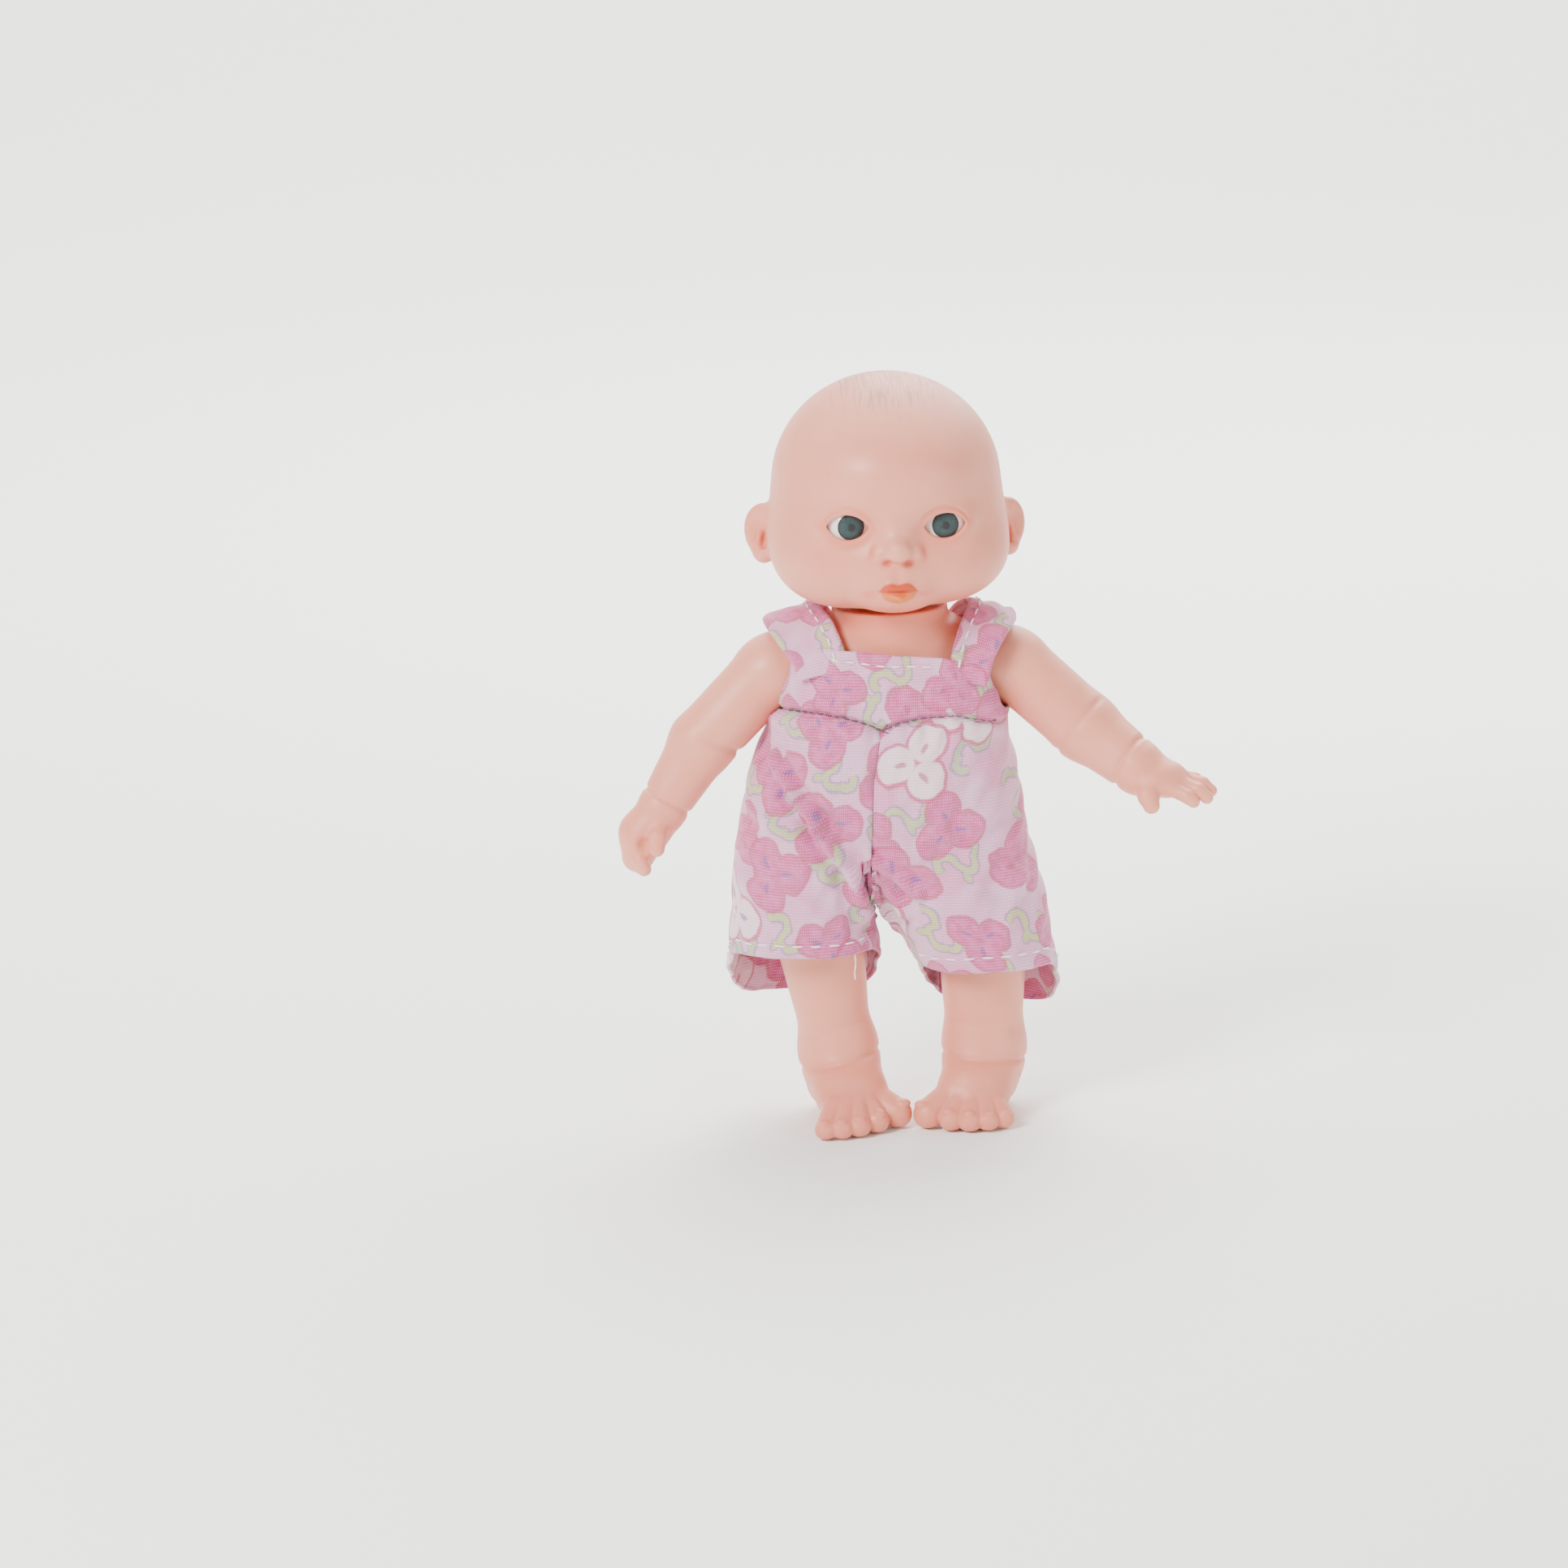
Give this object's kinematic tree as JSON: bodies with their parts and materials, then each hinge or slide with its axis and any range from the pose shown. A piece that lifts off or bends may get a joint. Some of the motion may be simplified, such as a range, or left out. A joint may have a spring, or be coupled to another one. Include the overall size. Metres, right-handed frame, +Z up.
{
  "type": "baby doll with a press-button sound module",
  "caption": "Jointed vinyl baby doll in a sleeveless cotton romper, with turning head, arms and legs and a belly press button for sound.",
  "frame": {"origin": "centre of the doll's footprint box on the floor it stands on", "axes": "+Z up from the soles to the crown; the doll faces -Y; its own left arm is towards +X"},
  "size_m": [0.1534, 0.0659, 0.1993],
  "materials": {
    "vinyl_skin": "soft satin vinyl, flesh coloured",
    "hard_skin": "moulded hard plastic, flesh coloured",
    "eye_white": "glossy white",
    "iris_print": "printed grey-green iris with black pupil",
    "cornea_clear": "clear polished plastic dome",
    "romper_cotton": "pink cotton knit with a printed flower pattern",
    "closure_tape": "white touch-fasten tape",
    "button_plastic": "moulded plastic",
    "black_plastic": "moulded plastic",
    "case_plastic": "moulded plastic",
    "board_green": "glass-fibre board with solder resist",
    "screw_steel": "plated steel",
    "contact_metal": "nickel plated spring steel",
    "cell_steel": "stainless cell can",
    "paper_cone": "pressed paper",
    "wire_red": "insulated wire"
  },
  "bodies": {
    "torso": {"torso_front_shell": "hard_skin", "torso_back_shell": "hard_skin", "torso_screws": "screw_steel", "switch_housing": "black_plastic", "circuit_board": "board_green", "sound_chip": "black_plastic", "circuit_board_screws": "screw_steel", "speaker_frame": "black_plastic", "speaker_magnet": "screw_steel", "speaker_cone": "paper_cone", "speaker_leads": "wire_red", "battery_cells": "cell_steel", "battery_contacts": "contact_metal", "battery_case": "case_plastic", "battery_leads": "wire_red", "battery_door": "hard_skin", "battery_door_screw": "screw_steel", "power_switch_housing": "black_plastic", "romper_waist": "romper_cotton", "romper_bib": "romper_cotton", "romper_back_panel": "romper_cotton", "strap_left": "romper_cotton", "strap_right": "romper_cotton", "closure_loop_tape": "closure_tape", "closure_hook_tape": "closure_tape"},
    "head": {"head_shell": "vinyl_skin", "eyeball_left": "eye_white", "eyeball_right": "eye_white", "iris_left": "iris_print", "iris_right": "iris_print", "cornea_left": "cornea_clear", "cornea_right": "cornea_clear"},
    "arm_left": {"arm_left": "vinyl_skin"},
    "arm_right": {"arm_right": "vinyl_skin"},
    "leg_left": {"leg_left": "vinyl_skin", "romper_leg_left": "romper_cotton"},
    "leg_right": {"leg_right": "vinyl_skin", "romper_leg_right": "romper_cotton"},
    "press_button": {"belly_button": "button_plastic", "switch_plunger": "black_plastic"},
    "power_slider": {"power_switch_knob": "black_plastic"}
  },
  "joints": [
    {"name": "head_turn", "type": "hinge", "parent": "torso", "child": "head", "pos_m": [-0.0056, 0.00005, 0.141], "axis": [0, 0, 1], "continuous": true},
    {"name": "left_arm_turn", "type": "hinge", "parent": "torso", "child": "arm_left", "pos_m": [0.0184, 0.00005, 0.1204], "axis": [1, 0, 0], "continuous": true},
    {"name": "right_arm_turn", "type": "hinge", "parent": "torso", "child": "arm_right", "pos_m": [-0.0296, 0.00005, 0.1204], "axis": [1, 0, 0], "continuous": true},
    {"name": "left_leg_turn", "type": "hinge", "parent": "torso", "child": "leg_left", "pos_m": [0.0062, 0.00005, 0.08], "axis": [1, 0, 0], "range_deg": [-90, 20]},
    {"name": "right_leg_turn", "type": "hinge", "parent": "torso", "child": "leg_right", "pos_m": [-0.0174, 0.00005, 0.08], "axis": [1, 0, 0], "range_deg": [-90, 20]},
    {"name": "belly_button_press", "type": "slide", "parent": "torso", "child": "press_button", "axis": [0, 1, 0], "range_m": [0, 0.001], "stiffness_N_per_m": 600, "springref_m": -0.0006},
    {"name": "power_switch_slide", "type": "slide", "parent": "torso", "child": "power_slider", "axis": [0, 0, 1], "range_m": [0, 0.003]}
  ]
}
